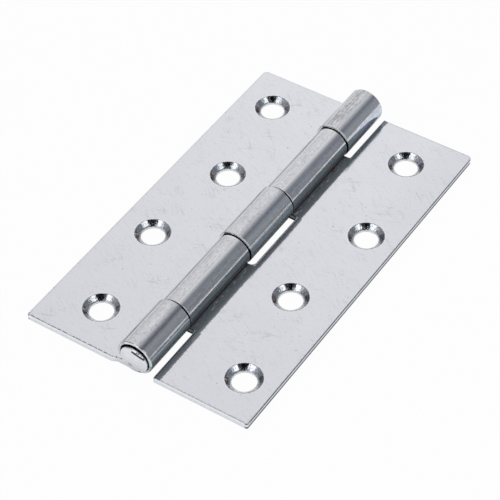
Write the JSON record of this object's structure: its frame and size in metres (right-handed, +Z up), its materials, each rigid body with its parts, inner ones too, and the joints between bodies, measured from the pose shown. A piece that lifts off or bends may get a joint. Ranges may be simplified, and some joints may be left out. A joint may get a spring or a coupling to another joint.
{
  "type": "narrow butt hinge",
  "caption": "Narrow flat butt hinge of bright zinc plated sheet, with rolled knuckles, a fixed peened pin and countersunk screw holes in a zigzag.",
  "frame": {"origin": "on the resting plane, under the pin's axis, midway along the leaves", "axes": "+Y along the knuckles, away from the near end of knuckle 1; +X towards the two-knuckle leaf; +Z up, away from the face that lies on the door or post"},
  "size_m": [0.061, 0.1012, 0.0093],
  "materials": {
    "three_knuckle_leaf": "bright zinc plated, satin with fine scratches",
    "two_knuckle_leaf": "bright zinc plated, satin with fine scratches",
    "hinge_pin": "bright zinc plated, peened ends"
  },
  "bodies": {
    "fixed_leaf": {"three_knuckle_leaf": "three_knuckle_leaf", "hinge_pin": "hinge_pin"},
    "turning_leaf": {"two_knuckle_leaf": "two_knuckle_leaf"}
  },
  "joints": [
    {"name": "leaf_hinge", "type": "hinge", "parent": "fixed_leaf", "child": "turning_leaf", "pos_m": [0, 0, 0.00435], "axis": [0, -1, 0], "range_deg": [-95, 189]}
  ]
}
